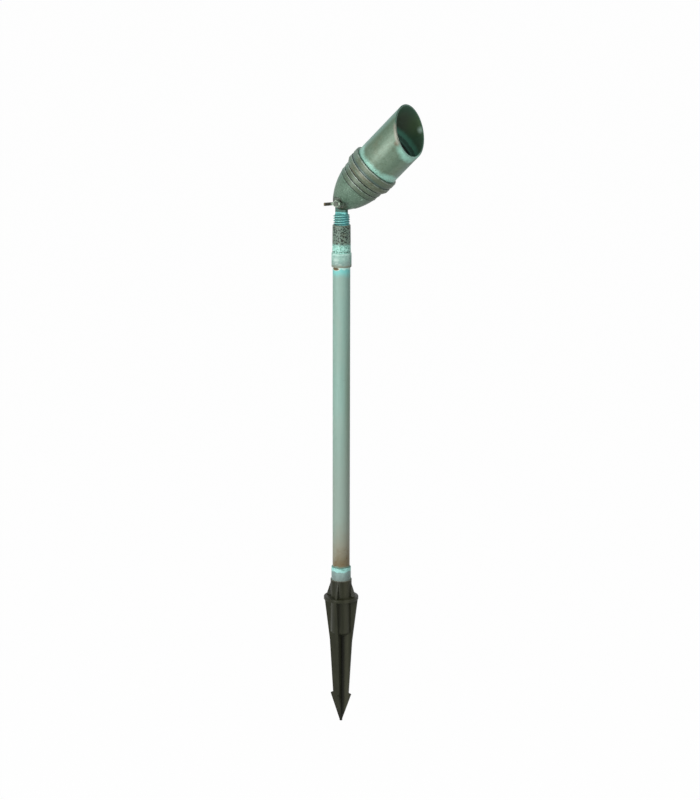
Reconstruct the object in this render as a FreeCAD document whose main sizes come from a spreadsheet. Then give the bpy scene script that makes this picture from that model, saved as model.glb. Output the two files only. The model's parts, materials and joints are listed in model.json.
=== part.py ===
"""Garden spotlight: a bullet lamp head on a swivel knuckle, a riser tube and a ground spike.

Millimetres and degrees. +Z is up and the origin is the centre of the spike's flange, on its underside,
where the ground is. The head leans towards +X and its tilt axis is parallel to Y, with the wing nut on
the -Y side. The head's pieces are drawn in the head's own frame, which has the pivot at its origin, its
Z along the lamp's axis towards the mouth and its X towards the head's underside.
"""
import FreeCAD, Part
import os
import re
import Sketcher
from FreeCAD import Placement, Rotation, Vector

doc = FreeCAD.newDocument("GardenSpotlight")

SIZES = {
    # Ground spike: flange, hub above it, sleeve below it, fins and barbs
    "flange_diameter": 45.0,
    "flange_thickness": 4.0,
    "flange_round": 1.2,
    "hub_diameter": 27.5,
    "socket_height": 26.8,
    "sleeve_diameter": 27.4,
    "sleeve_depth": 44.0,
    "sleeve_end_depth": 51.0,
    "sleeve_end_diameter": 11.0,
    "sleeve_bore": 17.0,
    "sleeve_floor": 9.0,
    "fin_thickness": 3.2,
    "fin_top_reach": 22.5,
    "fin_knee_depth": 57.6,
    "fin_knee_reach": 15.05,
    "barb_depth": 130.0,
    "fin_foot_reach": 10.5,
    "barb_reach": 13.9,
    "barb_drop": 1.4,
    "spike_depth": 169.0,
    "tip_width": 1.4,
    "gusset_thickness": 2.6,
    "gusset_height": 21.9,
    "gusset_reach": 19.7,
    "cable_hole_diameter": 9.0,
    "cable_hole_depth": 18.0,
    "cable_hole_angle": 225.0,
    # Riser tube and the fittings on its two ends
    "pole_diameter": 22.2,
    "pole_wall": 1.1,
    "pole_length": 422.1,
    "collar_diameter": 25.2,
    "collar_round": 0.7,
    "collar_seat": 4.0,
    "collar_bore": 15.0,
    "lower_collar_length": 20.9,
    "lower_cup_depth": 16.5,
    "adapter_thread": 20.9,
    "adapter_thread_length": 18.0,
    "upper_collar_length": 17.7,
    "upper_cup_depth": 13.0,
    "spigot_diameter": 19.0,
    "spigot_length": 12.0,
    "coupling_length": 35.3,
    "coupling_top_diameter": 22.6,
    "coupling_foot_diameter": 23.2,
    "coupling_round": 0.8,
    "solder_gap": 0.05,
    "seat_gap": 0.15,
    "end_gap": 0.5,
    # Knuckle stem: thread, neck and eye
    "stem_thread": 20.5,
    "thread_gap": 0.06,
    "thread_hidden": 16.0,
    "thread_shown": 13.0,
    "thread_chamfer": 1.0,
    "neck_diameter": 16.0,
    "pivot_rise": 15.4,
    "eye_flats": 9.0,
    "flats_below_pivot": 14.6,
    "stem_bore": 10.0,
    "stem_bore_below_pivot": 15.6,
    "lead_hole": 2.4,
    "lead_hole_back": 5.2,
    "lead_hole_side": 2.2,
    # Pivot: bolt, washers and wing nut
    "bolt_diameter": 6.0,
    "bolt_gap": 0.05,
    "bolt_head_flats": 10.0,
    "bolt_head_height": 4.0,
    "bolt_past_nut": 1.4,
    "friction_washer_diameter": 13.0,
    "friction_washer_gap": 0.1,
    "slot_width": 11.8,
    "spot_face": 11.6,
    "spot_face_diameter": 16.0,
    "washer_diameter": 12.0,
    "washer_thickness": 1.2,
    "lock_washer_diameter": 10.8,
    "lock_washer_thickness": 1.5,
    "nut_gap": 0.06,
    "nut_foot_diameter": 9.8,
    "nut_top_diameter": 8.2,
    "nut_foot_height": 2.4,
    "nut_height": 7.6,
    "nut_turn": -2.0,
    "wing_thickness": 3.8,
    "wing_reach": 14.3,
    "wing_root": 3.2,
    "wing_root_height": 4.5,
    "wing_root_width": 3.4,
    "wing_tip_height": 12.2,
    "wing_tip_width": 4.8,
    # Head: tilt, bullet-shaped tail, slot, rings and bores
    "tilt_angle": 44.4,
    "slot_gap": 0.4,
    "slot_tilt": 88.0,
    "eye_gap": 1.4,
    "nose_radius": 13.7,
    "nose_centre": 4.2,
    "nose_join_angle": 38.0,
    "flank_radius": 85.0,
    "tail_length": 31.2,
    "bead_round": 0.8,
    "band_round": 1.0,
    "rear_groove": 53.4,
    "rear_bead": 55.6,
    "rear_bead_start": 31.8,
    "rear_bead_end": 38.0,
    "middle_groove": 53.6,
    "middle_bead": 57.2,
    "middle_bead_start": 39.0,
    "middle_bead_end": 45.4,
    "deep_groove": 54.8,
    "wide_band": 64.0,
    "wide_band_start": 46.9,
    "wide_band_end": 55.5,
    "wide_band_back": 60.4,
    "wide_band_slope": 3.4,
    "front_groove": 61.8,
    "front_band": 64.4,
    "front_band_start": 58.1,
    "front_band_end": 65.6,
    "cavity_floor": 13.0,
    "cavity_floor_diameter": 34.0,
    "cavity_shoulder": 30.0,
    "lamp_bore": 50.6,
    "hood_stop": 52.0,
    "lead_passage": 6.0,
    # Hood: tube with a slanted mouth, and what it holds
    "hood_diameter": 58.6,
    "hood_wall": 2.2,
    "hood_gap": 0.1,
    "hood_end_gap": 0.6,
    "hood_mean_length": 126.7,
    "mouth_slant": 31.5,
    "hood_turn": -29.0,
    "seal_place": 57.0,
    "seal_thickness": 1.1,
    "seal_groove_width": 1.4,
    "ledge_place": 100.0,
    "ledge_thickness": 2.0,
    "ledge_opening": 50.4,
    "lens_thickness": 3.0,
    "lens_gap": 0.2,
    "gasket_thickness": 1.0,
    "retainer_thickness": 1.0,
    "retainer_bite": 0.6,
    "retainer_width": 2.2,
    # Lamp holder and lamp
    "socket_flange_length": 26.0,
    "socket_flange_height": 4.0,
    "socket_length": 16.0,
    "socket_width": 11.0,
    "socket_height_total": 14.0,
    "socket_round": 2.0,
    "socket_screw_pitch": 20.8,
    "screw_diameter": 2.5,
    "screw_gap": 0.1,
    "screw_head_diameter": 4.2,
    "screw_head_height": 1.6,
    "screw_bite": 3.0,
    "pin_pitch": 5.33,
    "pin_diameter": 1.45,
    "pin_length": 7.0,
    "contact_diameter": 2.7,
    "contact_gap": 0.08,
    "contact_length": 7.6,
    "base_length": 14.0,
    "base_width": 9.0,
    "base_round": 2.0,
    "base_height": 13.0,
    "capsule_diameter": 8.4,
    "capsule_height": 18.0,
    "reflector_rim": 50.0,
    "reflector_length": 34.0,
    "reflector_neck": 20.0,
    "reflector_wall": 1.4,
    "reflector_curve": 46.0,
    "reflector_rim_height": 2.5,
    "neck_overlap": 3.0,
    "cover_thickness": 1.2,
    "cover_gap": 0.1,
}

# Places and sizes that follow from the driving ones
DERIVED = {
    "collar_base": "socket_height - collar_seat",
    "collar_top": "collar_base + lower_collar_length",
    "adapter_foot": "collar_base - adapter_thread_length",
    "cup_radius": "pole_diameter / 2 + solder_gap",
    "pole_foot": "collar_top - lower_cup_depth",
    "pole_top": "pole_foot + pole_length",
    "upper_collar_base": "pole_top - upper_cup_depth",
    "upper_collar_top": "upper_collar_base + upper_collar_length",
    "spigot_top": "upper_collar_top + spigot_length",
    "coupling_top": "upper_collar_top + coupling_length",
    "stem_foot": "coupling_top - thread_hidden",
    "thread_top": "coupling_top + thread_shown",
    "pivot_height": "thread_top + pivot_rise",
    "bolt_hole_radius": "bolt_diameter / 2 + bolt_gap",
    "nut_foot": "spot_face + washer_thickness + nut_gap",
    "bolt_end": "nut_foot + nut_height + bolt_past_nut",
    "bolt_head_foot": "spot_face + lock_washer_thickness",
    "tail_end": "nose_centre - nose_radius",
    "join_radius": "nose_radius * cos(nose_join_angle)",
    "join_place": "nose_centre - nose_radius * sin(nose_join_angle)",
    "flank_centre_radius": "(nose_radius - flank_radius) * cos(nose_join_angle)",
    "flank_centre_place": "nose_centre + (flank_radius - nose_radius) * sin(nose_join_angle)",
    "tail_radius": "flank_centre_radius + sqrt(flank_radius ^ 2 - (tail_length - flank_centre_place) ^ 2)",
    "slot_half": "neck_diameter / 2 + slot_gap",
    "slot_reach": "2 * nose_radius + neck_diameter",
    "hood_radius": "hood_diameter / 2",
    "hood_inner_radius": "hood_radius - hood_wall",
    "hood_foot": "hood_stop + hood_end_gap",
    "mouth_rise": "hood_radius * tan(mouth_slant)",
    "hood_blank_end": "hood_mean_length + mouth_rise + hood_wall",
    "gasket_base": "ledge_place - gasket_thickness",
    "lens_base": "gasket_base - lens_thickness",
    "retainer_base": "lens_base - retainer_thickness",
    "retainer_radius": "hood_inner_radius + retainer_bite",
    "lens_radius": "hood_inner_radius - lens_gap",
    "seal_radius": "hood_radius + hood_gap / 2 - seal_thickness / 2",
    "socket_top": "cavity_floor + socket_height_total",
    "socket_flange_top": "cavity_floor + socket_flange_height",
    "base_top": "socket_top + base_height",
    "reflector_foot": "base_top - neck_overlap",
    "reflector_top": "reflector_foot + reflector_length",
    "reflector_rim_base": "reflector_top - reflector_rim_height",
    "cover_base": "reflector_top - cover_thickness",
    "rim_inner_radius": "reflector_rim / 2 - reflector_wall",
    "neck_inner_radius": "reflector_neck / 2 - reflector_wall",
}

sheet = doc.addObject("Spreadsheet::Sheet", "Sizes")
for row, (name, number) in enumerate(SIZES.items(), start=1):
    sheet.set(f"A{row}", name)
    sheet.set(f"B{row}", str(number))
    sheet.setAlias(f"B{row}", name)
for row, (name, formula) in enumerate(DERIVED.items(), start=len(SIZES) + 1):
    sheet.set(f"A{row}", name)
    sheet.set(f"B{row}", "=" + formula)
    sheet.setAlias(f"B{row}", name)
doc.recompute()


def bind(expression):
    """The expression with each size read from the sheet."""
    def cell(match):
        name = match.group()
        return "Sizes." + name if name in SIZES or name in DERIVED else name

    return re.sub(r"[a-z_]+", cell, expression)


def value(expression):
    """What an expression of the sheet's sizes comes to."""
    return float(sheet.evalExpression(bind(expression)))


def new_body(label):
    body = doc.addObject("PartDesign::Body", label)
    body.Label = label
    return body


def new_sketch(body, plane, lift="0"):
    """A sketch on one of the body's own planes, lifted along the plane's normal."""
    sketch = body.newObject("Sketcher::SketchObject", "Sketch")
    support = next(f for f in body.Origin.OriginFeatures if f.Role == plane)
    sketch.AttachmentSupport = (support, [""])
    sketch.MapMode = "FlatFace"
    sketch.setExpression("AttachmentOffset.Base.z", bind(lift))
    return sketch


def dimension(sketch, kind, places, expression):
    """One driving dimension of a sketch, bound to the sheet."""
    index = sketch.addConstraint(Sketcher.Constraint(kind, *places, value(expression)))
    sketch.setExpression(f"Constraints[{index}]", bind(expression))


def fix_point(sketch, edge, end, x, y):
    """Holds a point of the sketch at x, y from the sketch's origin."""
    for kind, axis, expression in (("DistanceX", -2, x), ("DistanceY", -1, y)):
        if expression == "0":
            sketch.addConstraint(Sketcher.Constraint("PointOnObject", edge, end, axis))
        else:
            dimension(sketch, kind, (-1, 1, edge, end), expression)


def arc_between(start, end, radius, outward):
    """The shorter arc from start to end, with its centre to the left, or to the right if not outward."""
    chord = end - start
    half = chord.Length / 2
    left = Vector(-chord.y, chord.x, 0).normalize()
    side = 1 if outward else -1
    drop = max(radius ** 2 - half ** 2, 0) ** 0.5
    middle = (start + end) / 2 + left * side * (drop - radius)
    return Part.Arc(start, middle, end)


def add_outline(sketch, corners):
    """A closed outline. A corner is x, y, and the radius of the arc that leaves it, if one does.

    A minus sign before the radius puts the arc's centre on the right of the way round.
    """
    points = [Vector(value(corner[0]), value(corner[1]), 0) for corner in corners]
    first = sketch.GeometryCount
    count = len(corners)
    for place, corner in enumerate(corners):
        start, end = points[place], points[(place + 1) % count]
        if len(corner) == 2:
            sketch.addGeometry(Part.LineSegment(start, end))
        else:
            radius = corner[2].lstrip("-")
            sketch.addGeometry(arc_between(start, end, value(radius), radius == corner[2]))
    for place, corner in enumerate(corners):
        edge, following = first + place, first + (place + 1) % count
        # An arc runs anticlockwise in a sketch, so one bent to the right is stored from its far end
        inward = len(corner) == 3 and corner[2].startswith("-")
        next_corner = corners[(place + 1) % count]
        next_inward = len(next_corner) == 3 and next_corner[2].startswith("-")
        sketch.addConstraint(Sketcher.Constraint(
            "Coincident", edge, 1 if inward else 2, following, 2 if next_inward else 1))
        fix_point(sketch, edge, 2 if inward else 1, corner[0], corner[1])
        if len(corner) == 3:
            dimension(sketch, "Radius", (edge,), corner[2].lstrip("-"))


def add_circle(sketch, x, y, diameter):
    centre = Vector(value(x), value(y), 0)
    edge = sketch.addGeometry(Part.Circle(centre, Vector(0, 0, 1), value(diameter) / 2))
    fix_point(sketch, edge, 3, x, y)
    dimension(sketch, "Diameter", (edge,), diameter)


def rounded_rectangle(length, width, radius):
    """Corners of a rectangle about the origin with rounded corners, anticlockwise."""
    x, y = f"{length} / 2", f"{width} / 2"
    x_in, y_in = f"({x} - {radius})", f"({y} - {radius})"
    return [
        (x, f"-{y_in}"), (x, y_in, radius), (x_in, y), (f"-{x_in}", y, radius),
        (f"-{x}", y_in), (f"-{x}", f"-{y_in}", radius), (f"-{x_in}", f"-{y}"), (x_in, f"-{y}", radius),
    ]


def turned(body, kind, corners, plane="XZ_Plane"):
    """A Revolution or Groove of an outline about the sketch's upright axis."""
    sketch = new_sketch(body, plane)
    add_outline(sketch, corners)
    feature = body.newObject("PartDesign::" + kind, kind)
    feature.Profile = sketch
    feature.ReferenceAxis = (sketch, ["V_Axis"])
    feature.Angle = 360
    return feature


def extruded(body, kind, sketch, length, symmetric=True, reversed_way=False):
    """A Pad or Pocket of a sketch."""
    feature = body.newObject("PartDesign::" + kind, kind)
    feature.Profile = sketch
    feature.SideType = "Symmetric" if symmetric else "One side"
    feature.Reversed = reversed_way
    feature.setExpression("Length", bind(length))
    return feature


def extruded_outline(body, kind, plane, corners, length):
    sketch = new_sketch(body, plane)
    add_outline(sketch, corners)
    return extruded(body, kind, sketch, length)


def repeated(body, feature, axis_role, count):
    """Copies of a feature spread evenly round one of the body's axes."""
    pattern = body.newObject("PartDesign::PolarPattern", "PolarPattern")
    pattern.Originals = [feature]
    pattern.Axis = (next(f for f in body.Origin.OriginFeatures if f.Role == axis_role), [""])
    pattern.Angle = 360
    pattern.Occurrences = count
    body.Tip = pattern
    return pattern


def ring(label, inner, outer, low, high, plane="XZ_Plane"):
    """A plain ring or disc about the plane's upright axis."""
    body = new_body(label)
    turned(body, "Revolution", [(inner, low), (outer, low), (outer, high), (inner, high)], plane)
    return body


def in_head(body, spin="0"):
    """Puts a piece of the head at the pivot, tilted, and turned about the lamp's axis."""
    tilt = Rotation(Vector(0, 1, 0), value("tilt_angle"))
    body.Placement = Placement(
        Vector(0, 0, value("pivot_height")), tilt * Rotation(Vector(0, 0, 1), value(spin)))


def make_ground_spike():
    body = new_body("ground_spike")
    flange_edge = "flange_thickness - flange_round"
    turned(body, "Revolution", [
        ("0", "-sleeve_end_depth"), ("sleeve_end_diameter / 2", "-sleeve_end_depth"),
        ("sleeve_diameter / 2", "-sleeve_depth"), ("sleeve_diameter / 2", "0"),
        ("flange_diameter / 2", "0"), ("flange_diameter / 2", flange_edge, "flange_round"),
        ("flange_diameter / 2 - flange_round", "flange_thickness"),
        ("hub_diameter / 2", "flange_thickness"), ("hub_diameter / 2", "socket_height"),
        ("0", "socket_height"),
    ])
    fin_side = [
        ("fin_top_reach", "flange_thickness / 2"), ("fin_top_reach", "0"),
        ("fin_knee_reach", "-fin_knee_depth"), ("fin_foot_reach", "-barb_depth"),
        ("barb_reach", "-barb_depth - barb_drop"), ("tip_width / 2", "-spike_depth"),
    ]
    gusset_side = [
        ("hub_diameter / 2", "gusset_height"), ("gusset_reach", "flange_thickness"),
        ("gusset_reach", "flange_thickness / 2"),
    ]
    for plane in ("XZ_Plane", "YZ_Plane"):
        for side, thickness in ((fin_side, "fin_thickness"), (gusset_side, "gusset_thickness")):
            mirrored = [(f"-({x})", z) for x, z in side]
            extruded_outline(body, "Pad", plane, mirrored + side[::-1], thickness)
    # Socket: a seat for the collar, the threaded bore and the hollow sleeve under it
    thread_radius = "adapter_thread / 2 + thread_gap"
    seat_radius = "collar_diameter / 2 + seat_gap"
    above = "socket_height + collar_seat"
    turned(body, "Groove", [
        ("0", "sleeve_floor - sleeve_end_depth"), ("sleeve_bore / 2", "sleeve_floor - sleeve_end_depth"),
        ("sleeve_bore / 2", "adapter_foot - end_gap"), (thread_radius, "adapter_foot - end_gap"),
        (thread_radius, "collar_base"), (seat_radius, "collar_base"), (seat_radius, above), ("0", above),
    ])
    # Way out for the cable, between two fins at the back
    sketch = new_sketch(body, "XZ_Plane")
    sketch.AttachmentOffset = Placement(
        Vector(0, 0, 0), Rotation(Vector(0, 1, 0), value("cable_hole_angle")))
    add_circle(sketch, "0", "-cable_hole_depth", "cable_hole_diameter")
    extruded(body, "Pocket", sketch, "sleeve_diameter", symmetric=False, reversed_way=True)
    return body


def make_lower_adapter():
    body = new_body("lower_adapter")
    turned(body, "Revolution", [
        ("collar_bore / 2", "adapter_foot"), ("adapter_thread / 2", "adapter_foot"),
        ("adapter_thread / 2", "collar_base"), ("collar_diameter / 2", "collar_base"),
        ("collar_diameter / 2", "collar_top - collar_round", "collar_round"),
        ("collar_diameter / 2 - collar_round", "collar_top"), ("cup_radius", "collar_top"),
        ("cup_radius", "pole_foot"), ("collar_bore / 2", "pole_foot"),
    ])
    return body


def make_riser_tube():
    return ring("riser_tube", "pole_diameter / 2 - pole_wall", "pole_diameter / 2", "pole_foot", "pole_top")


def make_upper_collar():
    body = new_body("upper_collar")
    turned(body, "Revolution", [
        ("cup_radius", "upper_collar_base"), ("collar_diameter / 2 - collar_round", "upper_collar_base",
                                              "collar_round"),
        ("collar_diameter / 2", "upper_collar_base + collar_round"),
        ("collar_diameter / 2", "upper_collar_top - collar_round", "collar_round"),
        ("collar_diameter / 2 - collar_round", "upper_collar_top"),
        ("spigot_diameter / 2", "upper_collar_top"), ("spigot_diameter / 2", "spigot_top"),
        ("collar_bore / 2", "spigot_top"), ("collar_bore / 2", "pole_top"), ("cup_radius", "pole_top"),
    ])
    return body


def make_riser_coupling():
    body = new_body("riser_coupling")
    spigot_radius = "spigot_diameter / 2 + solder_gap"
    thread_radius = "stem_thread / 2 + thread_gap"
    turned(body, "Revolution", [
        (spigot_radius, "upper_collar_top"), ("coupling_foot_diameter / 2", "upper_collar_top"),
        ("coupling_top_diameter / 2", "coupling_top - coupling_round", "coupling_round"),
        ("coupling_top_diameter / 2 - coupling_round", "coupling_top"), (thread_radius, "coupling_top"),
        (thread_radius, "stem_foot - end_gap"), ("collar_bore / 2", "stem_foot - end_gap"),
        ("collar_bore / 2", "spigot_top"), (spigot_radius, "spigot_top"),
    ])
    return body


def make_knuckle_stem():
    body = new_body("knuckle_stem")
    bore_top = "pivot_height - stem_bore_below_pivot"
    turned(body, "Revolution", [
        ("stem_bore / 2", "stem_foot"), ("stem_thread / 2 - thread_chamfer", "stem_foot"),
        ("stem_thread / 2", "stem_foot + thread_chamfer"), ("stem_thread / 2", "thread_top - thread_chamfer"),
        ("stem_thread / 2 - thread_chamfer", "thread_top"), ("neck_diameter / 2", "thread_top"),
        ("neck_diameter / 2", "pivot_height", "neck_diameter / 2"),
        ("0", "pivot_height + neck_diameter / 2"), ("0", bore_top), ("stem_bore / 2", bore_top),
    ])
    # Flats on both sides of the eye, where the friction washers bear
    flats_foot, flats_head = "pivot_height - flats_below_pivot", "pivot_height + neck_diameter"
    for side in ("", "-"):
        near, far = f"{side}eye_flats / 2", f"{side}neck_diameter"
        extruded_outline(body, "Pocket", "YZ_Plane", [
            (near, flats_foot), (far, flats_foot), (far, flats_head), (near, flats_head),
        ], "2 * neck_diameter")
    sketch = new_sketch(body, "XZ_Plane")
    add_circle(sketch, "0", "pivot_height", "2 * bolt_hole_radius")
    extruded(body, "Pocket", sketch, "2 * neck_diameter")
    # Holes that take the two lamp leads past the bolt
    sketch = new_sketch(body, "XY_Plane", bore_top + " - lead_hole")
    for side in ("", "-"):
        add_circle(sketch, "-lead_hole_back", side + "lead_hole_side", "lead_hole")
    extruded(body, "Pocket", sketch, "2 * neck_diameter", symmetric=False, reversed_way=True)
    return body


def band_outline(groove, name, edge_round, last_end, back=None):
    """The groove behind a raised ring of the housing, and the ring with its rounded edges.

    A ring with a sloping back has a smaller diameter there and the slope's length.
    """
    start, end = name + "_start", name + "_end"
    rim, shoulder = f"{name} / 2", f"{name} / 2 - {edge_round}"
    if back:
        back_corners = [(f"{back[0]} / 2", start), (rim, f"{start} + {back[1]}")]
    else:
        back_corners = [(shoulder, start, edge_round), (rim, f"{start} + {edge_round}")]
    return [
        (f"{groove} / 2", last_end), (f"{groove} / 2", start), *back_corners,
        (rim, f"{end} - {edge_round}", edge_round), (shoulder, end),
    ]


def make_rear_housing():
    body = new_body("rear_housing")
    outline = [
        ("0", "tail_end", "nose_radius"), ("join_radius", "join_place", "flank_radius"),
        ("tail_radius", "tail_length"),
    ]
    outline += band_outline("rear_groove", "rear_bead", "bead_round", "tail_length")
    outline += band_outline("middle_groove", "middle_bead", "bead_round", "rear_bead_end")
    outline += band_outline("deep_groove", "wide_band", "band_round", "middle_bead_end",
                            ("wide_band_back", "wide_band_slope"))
    outline += band_outline("front_groove", "front_band", "band_round", "wide_band_end")
    hood_bore = "hood_radius + hood_gap"
    outline += [
        (hood_bore, "front_band_end"), (hood_bore, "hood_stop"), ("lamp_bore / 2", "hood_stop"),
        ("lamp_bore / 2", "cavity_shoulder"), ("cavity_floor_diameter / 2", "cavity_floor"),
        ("0", "cavity_floor"),
    ]
    turned(body, "Revolution", outline)
    # Slot for the knuckle's eye and neck, from the tail round to the underside
    sine, cosine = "sin(slot_tilt)", "cos(slot_tilt)"
    extruded_outline(body, "Pocket", "XZ_Plane", [
        ("-slot_half", "0"), ("-slot_half", "-slot_reach"), ("slot_reach", "-slot_reach"),
        (f"{sine} * slot_reach + {cosine} * slot_half", f"{sine} * slot_half - {cosine} * slot_reach"),
        (f"{cosine} * slot_half", f"{sine} * slot_half"),
    ], "slot_width")
    sketch = new_sketch(body, "XZ_Plane")
    add_circle(sketch, "0", "0", "neck_diameter + 2 * eye_gap")
    extruded(body, "Pocket", sketch, "slot_width")
    # Bolt hole and the flat seat round it on each cheek
    for side in ("", "-"):
        seat, past = side + "spot_face", side + "slot_reach"
        turned(body, "Groove", [
            ("0", "0"), ("bolt_hole_radius", "0"), ("bolt_hole_radius", seat),
            ("spot_face_diameter / 2", seat), ("spot_face_diameter / 2", past), ("0", past),
        ], "XY_Plane")
    # Way for the lamp's leads from the eye into the lamp chamber, and the holder's screw holes
    turned(body, "Groove", [
        ("0", "0"), ("lead_passage / 2", "0"), ("lead_passage / 2", "cavity_floor + eye_gap"),
        ("0", "cavity_floor + eye_gap"),
    ])
    sketch = new_sketch(body, "XY_Plane", "cavity_floor")
    for side in ("", "-"):
        add_circle(sketch, side + "socket_screw_pitch / 2", "0", "screw_diameter + 2 * screw_gap")
    extruded(body, "Pocket", sketch, "screw_bite + screw_gap", symmetric=False)
    in_head(body)
    return body


def make_pivot_bolt():
    body = new_body("pivot_bolt")
    turned(body, "Revolution", [
        ("0", "-bolt_end"), ("bolt_diameter / 2", "-bolt_end"),
        ("bolt_diameter / 2", "bolt_head_foot + bolt_head_height / 2"),
        ("0", "bolt_head_foot + bolt_head_height / 2"),
    ], "XY_Plane")
    # The hexagon's corners, at the flats' half width over the cosine of 30 degrees
    sketch = new_sketch(body, "XZ_Plane", "-bolt_head_foot")
    corner = "bolt_head_flats / 2 / cos(30)"
    add_outline(sketch, [(f"{corner} * cos({turn})", f"{corner} * sin({turn})")
                         for turn in range(15, 375, 60)])
    extruded(body, "Pad", sketch, "bolt_head_height", symmetric=False, reversed_way=True)
    in_head(body)
    return body


def make_friction_washers():
    """One washer on each side of the eye, bearing on the cheeks."""
    body = new_body("friction_washers")
    inner, outer = "bolt_hole_radius", "friction_washer_diameter / 2"
    low, high = "eye_flats / 2 + friction_washer_gap", "slot_width / 2"
    first = turned(body, "Revolution", [(inner, low), (outer, low), (outer, high), (inner, high)], "XY_Plane")
    repeated(body, first, "Z_Axis", 2)
    in_head(body)
    return body


def make_nut_washer():
    body = ring("nut_washer", "bolt_hole_radius", "washer_diameter / 2",
                "-spot_face - washer_thickness", "-spot_face", "XY_Plane")
    in_head(body)
    return body


def make_lock_washer():
    body = ring("lock_washer", "bolt_hole_radius", "lock_washer_diameter / 2",
                "spot_face", "bolt_head_foot", "XY_Plane")
    in_head(body)
    return body


def make_wing_nut():
    body = new_body("wing_nut")
    top = "-nut_foot - nut_height"
    turned(body, "Revolution", [
        ("bolt_hole_radius", top), ("nut_top_diameter / 2", top),
        ("nut_foot_diameter / 2", "-nut_foot - nut_foot_height"), ("nut_foot_diameter / 2", "-nut_foot"),
        ("bolt_hole_radius", "-nut_foot"),
    ], "XY_Plane")
    root, tip = "-nut_foot - wing_root_height", "-nut_foot - wing_tip_height"
    tip_radius = "wing_tip_width / 2"
    wing = extruded_outline(body, "Pad", "XY_Plane", [
        ("wing_root", f"{root} - wing_root_width / 2"),
        (f"wing_reach - {tip_radius}", f"{tip} - {tip_radius}", tip_radius),
        ("wing_reach", tip, tip_radius),
        (f"wing_reach - {tip_radius} / 2", f"{tip} + {tip_radius} * sqrt(3) / 2"),
        ("wing_root", f"{root} + wing_root_width / 2"),
    ], "wing_thickness")
    repeated(body, wing, "Y_Axis", 2)
    body.Placement = Placement(
        Vector(0, 0, value("pivot_height")), Rotation(Vector(0, 1, 0), value("nut_turn")))
    return body


def make_hood():
    body = new_body("hood")
    groove_low, groove_high = "seal_place - seal_groove_width / 2", "seal_place + seal_groove_width / 2"
    groove_radius = "seal_radius - seal_thickness / 2"
    ledge_top = "ledge_place + ledge_thickness"
    turned(body, "Revolution", [
        ("hood_inner_radius", "hood_foot"), ("hood_radius", "hood_foot"),
        ("hood_radius", groove_low), (groove_radius, groove_low),
        (groove_radius, groove_high), ("hood_radius", groove_high),
        ("hood_radius", "hood_blank_end"), ("hood_inner_radius", "hood_blank_end"),
        ("hood_inner_radius", ledge_top), ("ledge_opening / 2", ledge_top),
        ("ledge_opening / 2", "ledge_place"), ("hood_inner_radius", "ledge_place"),
        ("hood_inner_radius", "lens_base"), ("retainer_radius", "lens_base"),
        ("retainer_radius", "retainer_base"), ("hood_inner_radius", "retainer_base"),
    ])
    # Slanted mouth, longest on the upper side
    reach, past = "2 * hood_radius", "hood_mean_length + 3 * mouth_rise"
    extruded_outline(body, "Pocket", "XZ_Plane", [
        (f"-{reach}", "hood_mean_length + 2 * mouth_rise"), (reach, "hood_mean_length - 2 * mouth_rise"),
        (reach, past), (f"-{reach}", past),
    ], "2 * hood_diameter")
    in_head(body, "hood_turn")
    return body


def make_hood_seal():
    body = new_body("hood_seal")
    sketch = new_sketch(body, "XZ_Plane")
    add_circle(sketch, "seal_radius", "seal_place", "seal_thickness")
    feature = body.newObject("PartDesign::Revolution", "Revolution")
    feature.Profile = sketch
    feature.ReferenceAxis = (sketch, ["V_Axis"])
    feature.Angle = 360
    in_head(body)
    return body


def make_lens():
    body = new_body("lens")
    turned(body, "Revolution", [
        ("0", "lens_base"), ("lens_radius", "lens_base"), ("lens_radius", "gasket_base"), ("0", "gasket_base"),
    ])
    in_head(body)
    return body


def make_lens_gasket():
    body = ring("lens_gasket", "ledge_opening / 2", "lens_radius", "gasket_base", "ledge_place")
    in_head(body)
    return body


def make_lens_retainer():
    body = ring("lens_retainer", "retainer_radius - retainer_width", "retainer_radius",
                "retainer_base", "lens_base")
    in_head(body)
    return body


def make_lamp_socket():
    body = new_body("lamp_socket")
    for length, height in (("socket_flange_length", "socket_flange_height"),
                           ("socket_length", "socket_height_total")):
        sketch = new_sketch(body, "XY_Plane", "cavity_floor")
        add_outline(sketch, rounded_rectangle(length, "socket_width", "socket_round"))
        extruded(body, "Pad", sketch, height, symmetric=False)
    sketch = new_sketch(body, "XY_Plane", "socket_top")
    for side in ("", "-"):
        add_circle(sketch, side + "pin_pitch / 2", "0", "contact_diameter + 2 * contact_gap")
    extruded(body, "Pocket", sketch, "contact_length", symmetric=False)
    sketch = new_sketch(body, "XY_Plane", "socket_flange_top")
    for side in ("", "-"):
        add_circle(sketch, side + "socket_screw_pitch / 2", "0", "screw_diameter + 2 * screw_gap")
    extruded(body, "Pocket", sketch, "socket_flange_height", symmetric=False)
    in_head(body)
    return body


def make_pair(label, pitch, sections):
    """Two turned pieces side by side. A section is a diameter, an inner diameter, a foot and a height."""
    body = new_body(label)
    for diameter, bore, foot, height in sections:
        sketch = new_sketch(body, "XY_Plane", foot)
        for side in ("", "-"):
            add_circle(sketch, f"{side}{pitch} / 2", "0", diameter)
            if bore != "0":
                add_circle(sketch, f"{side}{pitch} / 2", "0", bore)
        extruded(body, "Pad", sketch, height, symmetric=False)
    in_head(body)
    return body


def make_socket_contacts():
    bore = "pin_diameter + 2 * contact_gap"
    return make_pair("socket_contacts", "pin_pitch", [
        ("contact_diameter", bore, "socket_top - contact_length", "contact_length"),
    ])


def make_socket_screws():
    return make_pair("socket_screws", "socket_screw_pitch", [
        ("screw_diameter", "0", "cavity_floor - screw_bite", "screw_bite + socket_flange_height"),
        ("screw_head_diameter", "0", "socket_flange_top", "screw_head_height"),
    ])


def make_lamp_pins():
    return make_pair("lamp_pins", "pin_pitch", [
        ("pin_diameter", "0", "socket_top - pin_length", "pin_length"),
    ])


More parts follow.
